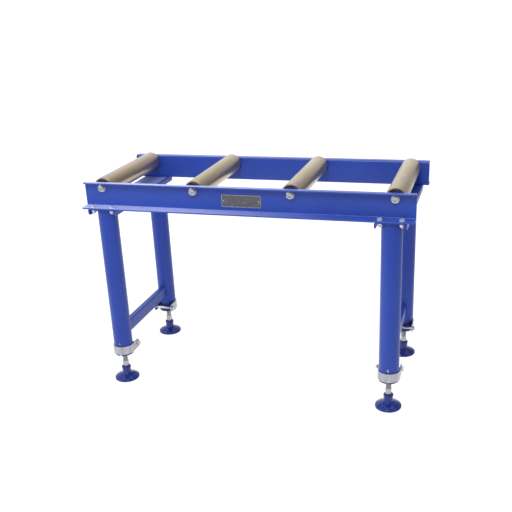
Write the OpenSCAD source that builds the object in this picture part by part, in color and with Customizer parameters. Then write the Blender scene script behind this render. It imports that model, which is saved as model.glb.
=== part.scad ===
// Height-adjustable roller stand: two folded side rails carry four rollers on fixed axles,
// and two welded leg frames stand on telescoping tubes with strap clamps and screw feet.
// X runs along the rails, Y from the front rail to the rear one, Z up from the floor.

/* [Rails] */
// Length of both side rails
rail_len = 1000; // [960:10:1300]
// Height of a rail over both flanges
rail_h = 76; // [70:1:90]
// Thickness of the folded rail plate
rail_t = 4; // [3:0.5:5]
// Width of the top flange, measured from the inner face of the web
rail_top_w = 22; // [18:1:30]
// Width of the bottom flange, measured from the inner face of the web
rail_foot_w = 44; // [42:1:56]
// Inner radius of the rail's folds
rail_bend = 2; // [1.5:0.5:3]
// Corner radius at the free ends of the flanges
rail_corner = 9; // [3:1:12]
// Clear distance between the two webs
rail_gap = 364; // [300:2:460]

/* [Rollers] */
// Height of the roller tops above the floor
table_h = 680; // [640:5:760]
// Distance from the end of the rail to the first axle
roller_inset = 57.5; // [50:0.5:80]
// Outer diameter of the roller tube
roller_d = 60; // [56:1:70]
// Wall of the roller tube
roller_wall = 2.5; // [2:0.5:3.5]
// Gap between the end of a roller and the web beside it
roller_end_gap = 4; // [3:0.5:8]
// Depth of the hub's face inside the roller's end
hub_recess = 4; // [2:0.5:6]
// Width of the hub that holds the bearing
hub_w = 18; // [16:1:26]
// Diameter of the fixed axle
axle_d = 20; // [18:0.5:22]
// Outer diameter of the ball bearing
bearing_d = 42; // [40:1:44]
// Width of the ball bearing
bearing_w = 12; // [10:1:14]
// Depth of the bearing's face inside the hub
bearing_sunk = 2; // [1:0.5:3]
// Width of the hub's lip behind the bearing
hub_lip = 2.5; // [2:0.5:4]
// Wall of the distance rings on the axle and height of its shoulders
spacer_wall = 3; // [2:0.5:4]

/* [Leg frames] */
// Distance from the end of the rail to the leg's axis
leg_inset = 65; // [58:1:120]
// Outer diameter of the leg tube
leg_d = 60; // [56:1:62]
// Wall of the leg tube
leg_wall = 3; // [2:0.5:4]
// Height of the leg tube's lower end above the floor
leg_end_h = 92; // [88:1:110]
// Width of the cross channel that joins the legs to the rails
channel_w = 90; // [84:1:110]
// Depth of the cross channel
channel_h = 20; // [18:1:26]
// Thickness of the cross channel
channel_t = 4; // [3:0.5:5]
// Inner radius of the channel's folds
channel_bend = 2; // [1:0.5:3]
// Corner radius at the lower ends of the channel's flanges
channel_corner = 8; // [3:1:12]
// Distance from the channel's end to the tip of the rail's bottom flange
channel_short = 4; // [1:1:6]
// Height of the lower cross bar above the floor
bar_low = 151; // [145:1:300]
// Height of the cross bar's section
bar_h = 40; // [30:1:60]
// Width of the cross bar's section
bar_w = 20; // [15:1:30]
// Wall of the cross bar
bar_wall = 2; // [1.5:0.5:3]

/* [Clamps] */
// Height of the clamp strap
strap_h = 28; // [22:1:30]
// Thickness of the clamp strap
strap_t = 3; // [2:0.5:4]
// Length of the leg tube left free below the strap
strap_rise = 6; // [3:1:10]
// Distance from the leg's axis to the clamp bolt
clamp_reach = 38; // [37:0.5:44]
// Length of the strap beyond the clamp bolt
strap_tail = 9; // [8:0.5:14]
// Width of the slot in the leg tube's end
slot_w = 5; // [3:0.5:7]
// Length of the slot above the strap
slot_over = 14; // [6:1:24]

/* [Telescopic tubes and feet] */
// Length of the inner tube
inner_len = 430; // [400:10:470]
// Wall of the inner tube
inner_wall = 3; // [2:0.5:4]
// Height of the threaded plug in the inner tube's end
plug_h = 18; // [12:1:24]
// Depth of the inner tube's end inside the leg tube
inner_rise = 1; // [0.5:0.5:4]
// Diameter of the foot's threaded spindle
spindle_d = 16; // [14:1:18]
// Height of the spindle's hexagon
spindle_hex_h = 21; // [12:1:24]
// Width across the flats of the spindle's hexagon
spindle_hex = 17; // [16:0.5:19]
// Length of the thread standing above the hexagon
spindle_thread = 87; // [82:1:110]
// Diameter of the foot pad
pad_d = 80; // [70:1:100]
// Height of the pad's rim
pad_rim = 9; // [6:1:11]
// Height of the pad's crown at its axis
pad_crown = 20; // [16:1:23]
// Diameter of the pad's neck
neck_d = 30; // [27:1:34]
// Height of the foot pad
pad_h = 44; // [42:1:50]
// Diameter of the ball at the spindle's lower end
ball_d = 17; // [15:0.5:19]
// Depth of the ball's centre below the pad's mouth
ball_depth = 14; // [13:0.5:16]
// Depth of the hexagon's lower face inside the pad's mouth
hex_sunk = 1; // [0.5:0.5:2]

/* [Fasteners] */
// Thread diameter of the axle bolts
axle_bolt_d = 12; // [10:1:12]
// Width across the flats of the axle bolt's head
axle_bolt_af = 19; // [17:1:20]
// Outer diameter of the axle bolt's washer
axle_washer_d = 24; // [22:1:28]
// Thread diameter of the rail and clamp bolts
frame_bolt_d = 8; // [6:1:8]
// Width across the flats of the rail and clamp bolts' heads
frame_bolt_af = 13; // [11:1:13]
// Distance from the rail bolts to the tip of the bottom flange
rail_bolt_edge = 14; // [12:0.5:17]

/* [Clearances] */
// Radial clearance of a turning or threaded fit
run_gap = 0.05; // [0.02:0.01:0.09]
// Radial clearance of a sliding fit and of loose pieces
slide_gap = 0.3; // [0.2:0.05:0.5]
// Radial clearance of a bolt in its hole
bolt_gap = 0.5; // [0.3:0.1:1]
// Gap between a washer's edge and the fold beside it
washer_gap = 0.5; // [0.3:0.1:2]

/* [Hidden] */
$fn = 96;

// Standard proportions of bolts, washers and nuts
axle_head_h = axle_bolt_d * 0.62;
axle_washer_t = 2.5;
frame_head_h = frame_bolt_d * 0.66;
frame_nut_h = frame_bolt_d * 0.81;
frame_washer_t = 1.6;
frame_washer_d = frame_bolt_d * 2;
thread_over = 4;
thread_bevel = 0.8;
hex_bevel_share = 0.1;
axle_thread = 26;

// Heights
axle_z = table_h - roller_d / 2;
axle_drop = rail_t + rail_bend + axle_washer_d / 2 + washer_gap;
rail_top_z = axle_z + axle_drop;
rail_low_z = rail_top_z - rail_h;
channel_low_z = rail_low_z - channel_h;
leg_top_z = rail_low_z - channel_t;

// Places across the stand
web_y = rail_gap / 2;
tip_y = web_y + rail_foot_w;
leg_x = rail_len / 2 - leg_inset;
leg_y = web_y + rail_t / 2;
rail_bolt_y = tip_y - rail_bolt_edge;
rail_outer_bend = rail_bend + rail_t;
channel_fold = channel_bend + channel_t;
rail_bolt_x = channel_w / 2 - channel_fold - frame_washer_d / 2 - washer_gap;

// Rollers
roller_count = 4;
roller_pitch = (rail_len - 2 * roller_inset) / (roller_count - 1);
roller_x = [for (i = [0 : roller_count - 1]) roller_inset - rail_len / 2 + i * roller_pitch];
roller_half = web_y - roller_end_gap;
roller_corner = 1.2;
roller_edge = min(roller_corner, roller_wall / 2);
hub_out = roller_half - hub_recess;
bearing_out = hub_out - bearing_sunk;
bearing_in = bearing_out - bearing_w;
hub_lip_d = bearing_d - 2 * hub_lip;
inner_ring_d = axle_d + (bearing_d - axle_d) * 0.36;
tube_bore_d = roller_d - 2 * roller_wall;
spacer_d = axle_d + 2 * spacer_wall;

// Legs, clamps and feet
leg_bore_d = leg_d - 2 * leg_wall;
inner_d = leg_bore_d - 2 * slide_gap;
inner_bore_d = inner_d - 2 * inner_wall;
inner_low_z = leg_end_h + inner_rise;
strap_low_z = leg_end_h + strap_rise;
slot_h = strap_rise + strap_h + slot_over;
strap_in = leg_d / 2 + run_gap;
strap_out = strap_in + strap_t;
strap_end = clamp_reach + strap_tail;
clamp_z = strap_low_z + strap_h / 2;
hex_low_z = pad_h - hex_sunk;
hex_top_z = hex_low_z + spindle_hex_h;
spindle_top_z = hex_top_z + spindle_thread;
ball_z = pad_h - ball_depth;
ball_neck_d = ball_d * 0.65;
neck_fillet = 8;
neck_lip = 3;
pad_edge = 3;

BLUE = "royalblue";
ZINC = "silver";
ROLLER = "darkkhaki";
DARK = "dimgray";
FOOT = "mediumblue";

// Placement helpers

// One leg's place, with its outward side along -Y before the mirror
module at_leg(sx, sy) {
    translate([sx * leg_x, sy * leg_y, 0])
        mirror([0, sy > 0 ? 1 : 0, 0])
            children();
}

// All four legs
module at_legs() {
    for (sx = [-1, 1], sy = [-1, 1])
        at_leg(sx, sy) children();
}

// Both sides, front and rear
module front_and_rear() {
    children();
    mirror([0, 1, 0]) children();
}

// All eight rail bolts, two over each leg
module at_rail_bolts() {
    for (sx = [-1, 1], sy = [-1, 1], k = [-1, 1])
        translate([sx * leg_x + k * rail_bolt_x, sy * rail_bolt_y, 0]) children();
}

// A cylinder along Y between two places
module along_y(d, y1, y2) {
    translate([0, y1, 0]) rotate([-90, 0, 0]) cylinder(d = d, h = y2 - y1);
}

// Fasteners, drawn along +Z from the face that they seat on

// Hexagon with turned-off corners on the far face, or on both
module hexagon(af, h, both = false) {
    bevel = af * hex_bevel_share;
    intersection() {
        cylinder(d = af / cos(30), h = h, $fn = 6);
        rotate_extrude()
            polygon([
                [0, 0],
                [both ? af / 2 : af, 0],
                [af, both ? bevel * 2 : 0],
                [af, h - bevel * 2],
                [af / 2, h],
                [0, h]
            ]);
    }
}

module hex_bolt(d, af, head_h, shank) {
    hexagon(af, head_h);
    translate([0, 0, -shank]) {
        cylinder(d1 = d - 2 * thread_bevel, d2 = d, h = thread_bevel);
        translate([0, 0, thread_bevel]) cylinder(d = d, h = shank - thread_bevel + head_h / 2);
    }
}

module hex_nut(d, af, h) {
    difference() {
        hexagon(af, h, both = true);
        translate([0, 0, -1]) cylinder(d = d + 2 * run_gap, h = h + 2);
    }
}

module washer(d, od, t) {
    difference() {
        cylinder(d = od, h = t);
        translate([0, 0, -1]) cylinder(d = d + 2 * slide_gap, h = t + 2);
    }
}

// Side rails

// Folded section in the Y-Z plane: web at Y = 0, flanges towards +Y, foot at Z = 0
module rail_section() {
    straight = rail_h - 2 * rail_outer_bend;
    translate([0, rail_outer_bend]) square([rail_t, straight]);
    translate([rail_outer_bend, 0]) square([rail_foot_w - rail_outer_bend, rail_t]);
    translate([rail_outer_bend, rail_h - rail_t]) square([rail_top_w - rail_outer_bend, rail_t]);
    translate([rail_outer_bend, rail_outer_bend]) rail_fold();
    translate([rail_outer_bend, rail_h - rail_outer_bend]) mirror([0, 1]) rail_fold();
}

module rail_fold() {
    intersection() {
        difference() {
            circle(r = rail_outer_bend);
            circle(r = rail_bend);
        }
        translate([-rail_outer_bend, -rail_outer_bend]) square(rail_outer_bend);
    }
}

// Sharp corner outside a quarter circle, to round off a flange's free corner
module corner_waste(r) {
    difference() {
        translate([-r, -r]) square([r + 1, r + 1]);
        translate([-r, -r]) circle(r = r);
    }
}

module rail_corner_cuts(w, z) {
    r = min(rail_corner, w - rail_outer_bend - 1);
    for (sx = [0, 1])
        mirror([sx, 0, 0])
            translate([rail_len / 2, w, z])
                linear_extrude(rail_t + 2) corner_waste(r);
}

// Rail with its web's inner face at Y = 0 and its flanges towards +Y
module rail() {
    difference() {
        translate([-rail_len / 2, 0, rail_low_z])
            rotate([90, 0, 90]) linear_extrude(rail_len) rail_section();
        rail_corner_cuts(rail_foot_w, rail_low_z - 1);
        rail_corner_cuts(rail_top_w, rail_top_z - rail_t - 1);
        for (x = roller_x)
            translate([x, 0, axle_z]) along_y(axle_bolt_d + 2 * bolt_gap, -1, rail_t + 1);
        for (sx = [-1, 1], k = [-1, 1])
            translate([sx * leg_x + k * rail_bolt_x, rail_foot_w - rail_bolt_edge, rail_low_z - 1])
                cylinder(d = frame_bolt_d + 2 * bolt_gap, h = rail_t + 2);
    }
}

module rear_rail() {
    color(BLUE) translate([0, web_y, 0]) rail();
}

module front_rail() {
    color(BLUE) mirror([0, 1, 0]) translate([0, web_y, 0]) rail();
}

// Leg frames

// Channel section, web on top, outer corner radius from the fold
module channel_section() {
    difference() {
        rounded_top(channel_w, channel_h, channel_fold);
        rounded_top(channel_w - 2 * channel_t, channel_h - channel_t, channel_bend, over = 1);
    }
}

// Rectangle below Y = 0 with its upper corners rounded, lowered by the web for the inner outline
module rounded_top(w, h, r, over = 0) {
    drop = channel_h - h;
    translate([-w / 2, -channel_h - over]) square([w, h - r + over]);
    translate([-w / 2 + r, -channel_h]) square([w - 2 * r, h]);
    for (s = [-1, 1])
        translate([s * (w / 2 - r), -drop - r]) circle(r = r);
}

module top_channel(sx) {
    half = tip_y - channel_short;
    color(BLUE)
        difference() {
            translate([sx * leg_x, half, rail_low_z])
                rotate([90, 0, 0]) linear_extrude(2 * half) channel_section();
            for (sy = [-1, 1], k = [-1, 1])
                translate([sx * leg_x + k * rail_bolt_x, sy * rail_bolt_y, leg_top_z - 1])
                    cylinder(d = frame_bolt_d + 2 * bolt_gap, h = channel_t + 2);
            for (sy = [0, 1])
                mirror([0, sy, 0])
                    translate([sx * leg_x - channel_w / 2 - 1, half, channel_low_z])
                        rotate([0, 90, 0]) linear_extrude(channel_w + 2) corner_waste(channel_corner);
        }
}

// Hollow bar between the legs, with its ends cut round to fit them
module cross_bar(sx) {
    color(BLUE)
        difference() {
            translate([sx * leg_x - bar_w / 2, -leg_y, bar_low]) cube([bar_w, 2 * leg_y, bar_h]);
            translate([sx * leg_x - bar_w / 2 + bar_wall, -leg_y - 1, bar_low + bar_wall])
                cube([bar_w - 2 * bar_wall, 2 * leg_y + 2, bar_h - 2 * bar_wall]);
            for (sy = [-1, 1])
                translate([sx * leg_x, sy * leg_y, bar_low - 1]) cylinder(d = leg_d, h = bar_h + 2);
        }
}

// Outer tube of a leg, slotted at its lower end so that the strap can close it
module leg_tube() {
    color(BLUE)
        difference() {
            translate([0, 0, leg_end_h]) cylinder(d = leg_d, h = leg_top_z - leg_end_h);
            translate([0, 0, leg_end_h - 1]) cylinder(d = leg_bore_d, h = leg_top_z - leg_end_h + 2);
            translate([-slot_w / 2, -leg_d, leg_end_h - 1])
                cube([slot_w, leg_d, slot_h + 1 - slot_w / 2]);
            translate([0, 0, leg_end_h + slot_h - slot_w / 2]) along_y(slot_w, -leg_d, 0);
        }
}

// Clamps

// Strap bent round the tube's outward side, with two straight tails
module strap_outline() {
    difference() {
        union() {
            circle(r = strap_out);
            translate([-strap_out, 0]) square([2 * strap_out, strap_end]);
        }
        circle(r = strap_in);
        translate([-strap_in, 0]) square([2 * strap_in, strap_end + 1]);
    }
}

module clamp_strap() {
    tail_r = strap_h * 0.3;
    color(ZINC)
        translate([0, 0, strap_low_z])
            difference() {
                linear_extrude(strap_h) strap_outline();
                translate([-strap_out - 1, clamp_reach, strap_h / 2])
                    rotate([0, 90, 0]) cylinder(d = frame_bolt_d + 2 * bolt_gap, h = 2 * strap_out + 2);
                for (top = [0, 1])
                    translate([-strap_out - 1, strap_end, top * strap_h])
                        mirror([0, 0, top])
                            rotate([90, 0, 90]) linear_extrude(2 * strap_out + 2)
                                mirror([0, 1]) corner_waste(tail_r);
            }
}

module clamp_bolts() {
    shank = 2 * strap_out + 2 * frame_washer_t + frame_nut_h + thread_over;
    color(ZINC)
        at_legs()
            translate([strap_out + frame_washer_t, clamp_reach, clamp_z])
                rotate([0, 90, 0]) hex_bolt(frame_bolt_d, frame_bolt_af, frame_head_h, shank);
}

module clamp_nuts() {
    color(ZINC)
        at_legs()
            translate([0, clamp_reach, clamp_z]) {
                translate([-strap_out, 0, 0]) rotate([0, -90, 0]) {
                    washer(frame_bolt_d, frame_washer_d, frame_washer_t);
                    translate([0, 0, frame_washer_t]) hex_nut(frame_bolt_d, frame_bolt_af, frame_nut_h);
                }
                translate([strap_out, 0, 0]) rotate([0, 90, 0])
                    washer(frame_bolt_d, frame_washer_d, frame_washer_t);
            }
}

// Telescopic tubes and feet

module inner_tube() {
    color(ZINC)
        difference() {
            translate([0, 0, inner_low_z]) cylinder(d = inner_d, h = inner_len);
            translate([0, 0, inner_low_z - 1]) cylinder(d = inner_bore_d, h = inner_len + 2);
        }
}

// Threaded plug in the inner tube's lower end
module spindle_nut() {
    color(ZINC)
        difference() {
            translate([0, 0, inner_low_z]) cylinder(d = inner_bore_d - 2 * run_gap, h = plug_h);
            translate([0, 0, inner_low_z - 1]) cylinder(d = spindle_d + 2 * run_gap, h = plug_h + 2);
        }
}

// Threaded spindle with a hexagon for the spanner and a ball that turns in the pad
module spindle() {
    tip = 2;
    color(ZINC) {
        translate([0, 0, ball_z]) sphere(d = ball_d);
        translate([0, 0, ball_z]) cylinder(d = ball_neck_d, h = hex_low_z - ball_z + 0.5);
        translate([0, 0, hex_low_z]) hexagon(spindle_hex, spindle_hex_h, both = true);
        translate([0, 0, hex_top_z - 0.5]) cylinder(d = spindle_d, h = spindle_thread - tip + 0.5);
        translate([0, 0, spindle_top_z - tip])
            cylinder(d1 = spindle_d, d2 = spindle_d - 2 * tip, h = tip);
    }
}

// Outline of the pad from its axis outwards: rim, crowned top, hollow sweep and lipped neck
module pad_section() {
    crown_run = pad_d / 2 - pad_edge;
    crown_rise = pad_crown - pad_rim;
    crown_r = (crown_run * crown_run + crown_rise * crown_rise) / (2 * crown_rise);
    crown_z = pad_crown - crown_r;
    sweep_x = neck_d / 2 + neck_fillet;
    sweep_z = crown_z + sqrt(pow(crown_r + neck_fillet, 2) - sweep_x * sweep_x);
    meet = crown_r / (crown_r + neck_fillet);
    intersection() {
        translate([0, crown_z]) circle(r = crown_r, $fn = 360);
        square([crown_run, pad_crown + 1]);
    }
    translate([0, 0]) square([pad_d / 2 - 1, 1]);
    translate([0, 1]) square([pad_d / 2, pad_rim - pad_edge - 1]);
    square([crown_run, pad_rim - pad_edge]);
    translate([crown_run, pad_rim - pad_edge]) circle(r = pad_edge);
    difference() {
        polygon([
            [0, pad_rim],
            [sweep_x * meet, crown_z + (sweep_z - crown_z) * meet],
            [sweep_x, sweep_z],
            [0, sweep_z]
        ]);
        translate([sweep_x, sweep_z]) circle(r = neck_fillet);
    }
    square([neck_d / 2, pad_h - neck_lip]);
    translate([neck_d / 2 - neck_lip, pad_h - neck_lip]) circle(r = neck_lip);
    square([neck_d / 2 - neck_lip, pad_h]);
}

// Pad with a round socket whose narrower throat holds the spindle's ball
module foot_pad() {
    socket_d = ball_d + 2 * slide_gap;
    throat_d = ball_neck_d + 4 * slide_gap;
    hex_clear_d = spindle_hex / cos(30) + 4 * slide_gap;
    mouth = hex_sunk + 2 * slide_gap;
    color(FOOT)
        difference() {
            rotate_extrude() pad_section();
            translate([0, 0, ball_z]) sphere(d = socket_d);
            translate([0, 0, ball_z]) cylinder(d = throat_d, h = pad_h - ball_z + 1);
            translate([0, 0, pad_h - mouth]) cylinder(d = hex_clear_d, h = pad_h);
        }
}

// Rollers, drawn about the Y axis at the height of the axles

// Wall of the roller from its bore outwards, with its outer end corners rounded
module roller_wall_section() {
    inner = roller_d / 2 - roller_wall;
    length = 2 * roller_half;
    translate([inner, roller_edge]) square([roller_wall, length - 2 * roller_edge]);
    translate([inner, 0]) square([roller_wall - roller_edge, length]);
    for (y = [roller_edge, length - roller_edge])
        translate([roller_d / 2 - roller_edge, y]) circle(r = roller_edge);
}

module roller_tube() {
    color(ROLLER)
        translate([0, -roller_half, 0])
            rotate([-90, 0, 0]) rotate_extrude() roller_wall_section();
}

// Turned hubs in both ends of the roller, each with a seat for its bearing
module roller_hubs() {
    seat_w = bearing_w + bearing_sunk;
    color(DARK)
        front_and_rear()
            difference() {
                along_y(tube_bore_d - 2 * run_gap, hub_out - hub_w, hub_out);
                along_y(hub_lip_d, hub_out - hub_w - 1, hub_out + 1);
                along_y(bearing_d + 2 * run_gap, hub_out - seat_w, hub_out + 1);
            }
}

// Outer ring and seals of each ball bearing
module roller_bearings() {
    color(ZINC)
        front_and_rear()
            difference() {
                along_y(bearing_d, bearing_in, bearing_out);
                along_y(inner_ring_d + 2 * run_gap, bearing_in - 1, bearing_out + 1);
            }
}

module bearing_inner_rings() {
    color(ZINC)
        for (x = roller_x)
            translate([x, 0, axle_z])
                front_and_rear()
                    difference() {
                        along_y(inner_ring_d, bearing_in, bearing_out);
                        along_y(axle_d + 2 * run_gap, bearing_in - 1, bearing_out + 1);
                    }
}

// Axle from web to web, with a shoulder between the bearings and a tapped hole at each end
module roller_axle() {
    color(ZINC)
        difference() {
            union() {
                along_y(axle_d, -web_y, web_y);
                front_and_rear()
                    along_y(spacer_d, bearing_in - spacer_wall, bearing_in);
            }
            front_and_rear()
                along_y(axle_bolt_d + 2 * run_gap, web_y - axle_thread, web_y + 1);
        }
}

// Distance rings between the bearings and the webs
module axle_spacers() {
    color(ZINC)
        for (x = roller_x)
            translate([x, 0, axle_z])
                front_and_rear()
                    difference() {
                        along_y(spacer_d, bearing_out, web_y);
                        along_y(axle_d + 2 * run_gap, bearing_out - 1, web_y + 1);
                    }
}

module axle_washers() {
    color(ZINC)
        front_and_rear()
            for (x = roller_x)
                translate([x, web_y + rail_t, axle_z])
                    rotate([-90, 0, 0]) washer(axle_bolt_d, axle_washer_d, axle_washer_t);
}

module axle_bolts() {
    shank = axle_washer_t + rail_t + axle_thread - thread_over;
    color(ZINC)
        front_and_rear()
            for (x = roller_x)
                translate([x, web_y + rail_t + axle_washer_t, axle_z])
                    rotate([-90, 0, 0]) hex_bolt(axle_bolt_d, axle_bolt_af, axle_head_h, shank);
}

// Bolts through the rails' bottom flanges and the cross channels

module rail_bolts() {
    shank = 2 * frame_washer_t + rail_t + channel_t + frame_nut_h + thread_over;
    color(ZINC)
        at_rail_bolts()
            translate([0, 0, rail_low_z + rail_t + frame_washer_t])
                hex_bolt(frame_bolt_d, frame_bolt_af, frame_head_h, shank);
}

module rail_washers() {
    color(ZINC)
        at_rail_bolts()
            for (z = [rail_low_z + rail_t, leg_top_z - frame_washer_t])
                translate([0, 0, z]) washer(frame_bolt_d, frame_washer_d, frame_washer_t);
}

module rail_nuts() {
    color(ZINC)
        at_rail_bolts()
            translate([0, 0, leg_top_z - frame_washer_t - frame_nut_h])
                hex_nut(frame_bolt_d, frame_bolt_af, frame_nut_h);
}

// Drawing, one line for each node
front_rail();
rear_rail();
top_channel(-1);  // left_top_channel
top_channel(1);  // right_top_channel
cross_bar(-1);  // left_cross_bar
cross_bar(1);  // right_cross_bar
at_leg(-1, -1) leg_tube();  // leg_tube_front_left
at_leg(1, -1) leg_tube();  // leg_tube_front_right
at_leg(-1, 1) leg_tube();  // leg_tube_rear_left
at_leg(1, 1) leg_tube();  // leg_tube_rear_right
at_leg(-1, -1) inner_tube();  // inner_tube_front_left
at_leg(1, -1) inner_tube();  // inner_tube_front_right
at_leg(-1, 1) inner_tube();  // inner_tube_rear_left
at_leg(1, 1) inner_tube();  // inner_tube_rear_right
at_leg(-1, -1) spindle_nut();  // spindle_nut_front_left
at_leg(1, -1) spindle_nut();  // spindle_nut_front_right
at_leg(-1, 1) spindle_nut();  // spindle_nut_rear_left
at_leg(1, 1) spindle_nut();  // spindle_nut_rear_right
at_leg(-1, -1) spindle();  // spindle_front_left
at_leg(1, -1) spindle();  // spindle_front_right
at_leg(-1, 1) spindle();  // spindle_rear_left
at_leg(1, 1) spindle();  // spindle_rear_right
at_leg(-1, -1) foot_pad();  // foot_pad_front_left
at_leg(1, -1) foot_pad();  // foot_pad_front_right
at_leg(-1, 1) foot_pad();  // foot_pad_rear_left
at_leg(1, 1) foot_pad();  // foot_pad_rear_right
at_leg(-1, -1) clamp_strap();  // clamp_strap_front_left
at_leg(1, -1) clamp_strap();  // clamp_strap_front_right
at_leg(-1, 1) clamp_strap();  // clamp_strap_rear_left
at_leg(1, 1) clamp_strap();  // clamp_strap_rear_right
clamp_bolts();
clamp_nuts();
translate([roller_x[0], 0, axle_z]) roller_tube();  // roller_tube_1
translate([roller_x[1], 0, axle_z]) roller_tube();  // roller_tube_2
translate([roller_x[2], 0, axle_z]) roller_tube();  // roller_tube_3
translate([roller_x[3], 0, axle_z]) roller_tube();  // roller_tube_4
translate([roller_x[0], 0, axle_z]) roller_hubs();  // roller_hubs_1
translate([roller_x[1], 0, axle_z]) roller_hubs();  // roller_hubs_2
translate([roller_x[2], 0, axle_z]) roller_hubs();  // roller_hubs_3
translate([roller_x[3], 0, axle_z]) roller_hubs();  // roller_hubs_4
translate([roller_x[0], 0, axle_z]) roller_bearings();  // roller_bearings_1
translate([roller_x[1], 0, axle_z]) roller_bearings();  // roller_bearings_2
translate([roller_x[2], 0, axle_z]) roller_bearings();  // roller_bearings_3
translate([roller_x[3], 0, axle_z]) roller_bearings();  // roller_bearings_4
translate([roller_x[0], 0, axle_z]) roller_axle();  // roller_axle_1
translate([roller_x[1], 0, axle_z]) roller_axle();  // roller_axle_2
translate([roller_x[2], 0, axle_z]) roller_axle();  // roller_axle_3
translate([roller_x[3], 0, axle_z]) roller_axle();  // roller_axle_4
bearing_inner_rings();
axle_spacers();
axle_bolts();
axle_washers();
rail_bolts();
rail_washers();
rail_nuts();
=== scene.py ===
# %% [markdown]
# # A roller stand with screw feet
#
# A workshop roller stand carries long bars up to a saw. Two folded side rails hold four rollers, and two
# welded leg frames carry the rails. Each leg is a tube with a smaller tube inside it, a strap clamp that
# holds the smaller one, and a threaded foot for the last few millimetres.
#
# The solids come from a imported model, which also says what moves. This script gives them their looks,
# with folded plates, turned round parts, and Geometry Nodes for what repeats. Each finished piece then
# rides on the body that carries it.

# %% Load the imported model
import math

import bmesh
import bpy
from mathutils import Matrix, Vector


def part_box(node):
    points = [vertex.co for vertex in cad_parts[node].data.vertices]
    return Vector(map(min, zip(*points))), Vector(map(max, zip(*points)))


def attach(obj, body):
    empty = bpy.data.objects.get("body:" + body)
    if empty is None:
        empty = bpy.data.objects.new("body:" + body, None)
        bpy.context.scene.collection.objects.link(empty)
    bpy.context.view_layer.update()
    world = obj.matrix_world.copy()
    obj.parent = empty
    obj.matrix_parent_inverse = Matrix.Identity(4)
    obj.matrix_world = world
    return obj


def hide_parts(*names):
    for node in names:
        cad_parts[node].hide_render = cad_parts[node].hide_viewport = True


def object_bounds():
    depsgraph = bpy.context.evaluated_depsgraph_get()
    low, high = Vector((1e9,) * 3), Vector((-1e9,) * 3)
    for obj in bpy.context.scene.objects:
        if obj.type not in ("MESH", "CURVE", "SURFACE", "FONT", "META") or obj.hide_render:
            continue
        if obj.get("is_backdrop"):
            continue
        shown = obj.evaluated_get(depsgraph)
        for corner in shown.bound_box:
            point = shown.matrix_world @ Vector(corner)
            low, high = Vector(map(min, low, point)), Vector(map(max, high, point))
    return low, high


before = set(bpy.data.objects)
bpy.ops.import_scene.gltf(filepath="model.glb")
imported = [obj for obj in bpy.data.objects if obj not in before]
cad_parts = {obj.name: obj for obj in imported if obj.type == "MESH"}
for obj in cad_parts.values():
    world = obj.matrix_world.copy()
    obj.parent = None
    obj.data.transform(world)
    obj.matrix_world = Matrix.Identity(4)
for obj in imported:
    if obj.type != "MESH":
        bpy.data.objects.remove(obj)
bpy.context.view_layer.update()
scene = bpy.context.scene

# %% [markdown]
# ## The camera
#
# A picture can be matched by eye or by measuring. Here the place and the focal length were worked out
# from edges whose lengths are known, such as the rails and the legs. The point that the camera is aimed
# at isn't in the middle of the frame, so a small shift moves the frame over it.

# %% Camera
frame_px = 512
focal_px = 769.7
aim_px = (261.13, 286.13)
camera_place = Vector((0.6951, -2.2244, 1.2300))
camera_yaw = math.radians(17.587)
camera_pitch = math.radians(22.024)
camera_roll = math.radians(-2.604)

lens = bpy.data.cameras.new("stand_camera")
lens.sensor_width = 36
lens.lens = focal_px / frame_px * lens.sensor_width
lens.shift_x = (frame_px / 2 - aim_px[0]) / frame_px
lens.shift_y = (aim_px[1] - frame_px / 2) / frame_px
lens.clip_end = 400
camera = bpy.data.objects.new("stand_camera", lens)
turn = Matrix.Rotation(camera_yaw, 4, "Z") @ Matrix.Rotation(math.pi / 2 - camera_pitch, 4, "X")
turn = turn @ Matrix.Rotation(camera_roll, 4, "Z")
camera.matrix_world = Matrix.Translation(camera_place) @ turn
scene.collection.objects.link(camera)
scene.camera = camera
print("lens:", round(lens.lens, 2), "mm, shift:", round(lens.shift_x, 4), round(lens.shift_y, 4))

# %% [markdown]
# ## One way to write nodes
#
# Materials and Geometry Nodes are both graphs of nodes. Linked by hand, a sum such as 0.4 + 0.1 * noise
# takes a dozen lines. The small class below holds one socket and knows how to add, subtract and multiply,
# so such a sum stays one line. Every other node comes from the one method node().

# %% Sums on sockets
class Wire:
    """One output of a node, which takes part in plain arithmetic."""

    def __init__(self, graph, socket):
        self.graph = graph
        self.socket = socket

    def maths(self, operation, other):
        return self.graph.node("ShaderNodeMath", {0: self, 1: other}, operation=operation)

    def __add__(self, other):
        return self.maths("ADD", other)

    def __sub__(self, other):
        return self.maths("SUBTRACT", other)

    def __mul__(self, other):
        return self.maths("MULTIPLY", other)

    __radd__ = __add__
    __rmul__ = __mul__


class Graph:
    """A node tree with one way to add a node: its type, its sockets, the output and its settings."""

    def __init__(self, tree):
        self.tree = tree

    def node(self, kind, sockets=None, output=0, **settings):
        made = self.tree.nodes.new(kind)
        for key, value in settings.items():
            setattr(made, key, value)
        for key, value in (sockets or {}).items():
            self.feed(made.inputs[key], value)
        return Wire(self, made.outputs[output])

    def feed(self, socket, value):
        if isinstance(value, Wire):
            self.tree.links.new(value.socket, socket)
        else:
            socket.default_value = value

    def window(self, value, low, high):
        """0 below low, 1 above high, and a smooth step between."""
        sockets = {"Value": value, "From Min": low, "From Max": high}
        return self.node("ShaderNodeMapRange", sockets, interpolation_type="SMOOTHSTEP")

    def part(self, vector, axis):
        """One of the three numbers of a vector."""
        return self.node("ShaderNodeSeparateXYZ", {"Vector": vector}, axis)

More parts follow.
